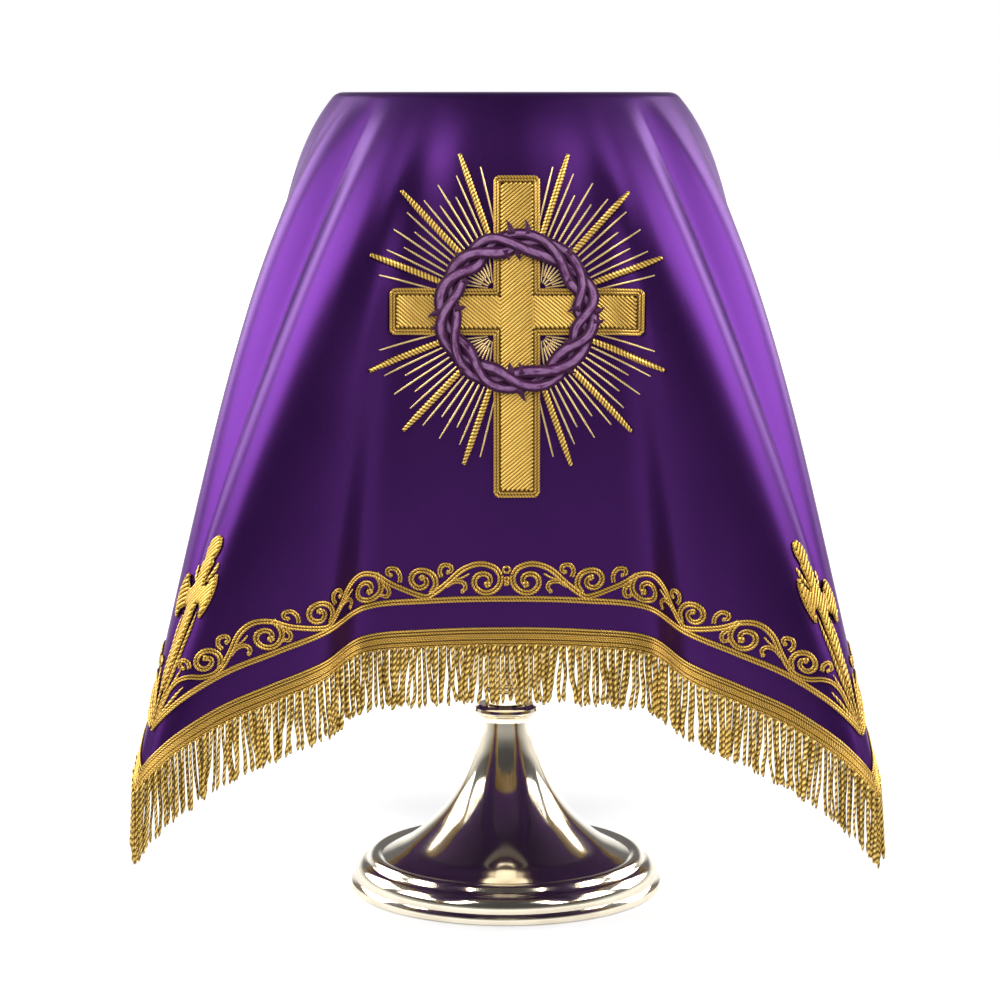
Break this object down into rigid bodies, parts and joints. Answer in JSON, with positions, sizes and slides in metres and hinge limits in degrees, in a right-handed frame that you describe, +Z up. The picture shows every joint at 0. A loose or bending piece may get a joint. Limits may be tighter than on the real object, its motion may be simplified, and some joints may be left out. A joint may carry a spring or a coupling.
{
  "type": "chalice veil on a chalice",
  "caption": "Square satin veil with gold embroidery, braid and fringe, draped over a stiff pall on a footed silver chalice.",
  "frame": {"origin": "centre of the underside of the chalice's foot", "axes": "+Z up, -Y out of the veil's front with the large cross, +X to that face's right as seen from the front"},
  "size_m": [0.2918, 0.2919, 0.345],
  "materials": {
    "satin": "purple satin with a soft sheen",
    "gold_thread": "metallic gold thread, braid and bullion",
    "thorn_thread": "mauve embroidery thread outlined in dark plum",
    "silver": "polished silver plate",
    "pall_linen": "plain stiffened linen"
  },
  "bodies": {
    "root": {"chalice_foot": "silver", "chalice_knop": "silver", "chalice_stem": "silver", "chalice_bowl": "silver", "pall_disc": "pall_linen", "veil_cloth": "satin", "fringe_front": "gold_thread", "border_front": "gold_thread", "corner_cross_1": "gold_thread", "fringe_right": "gold_thread", "border_right": "gold_thread", "corner_cross_2": "gold_thread", "fringe_back": "gold_thread", "border_back": "gold_thread", "corner_cross_3": "gold_thread", "fringe_left": "gold_thread", "border_left": "gold_thread", "corner_cross_4": "gold_thread", "emblem_cross": "gold_thread", "thorn_crown": "thorn_thread", "ray_right_1": "gold_thread", "ray_left_1": "gold_thread", "ray_right_2": "gold_thread", "ray_left_2": "gold_thread", "ray_right_3": "gold_thread", "ray_left_3": "gold_thread", "ray_right_4": "gold_thread", "ray_left_4": "gold_thread", "ray_right_5": "gold_thread", "ray_left_5": "gold_thread", "ray_right_6": "gold_thread", "ray_left_6": "gold_thread"}
  },
  "joints": []
}
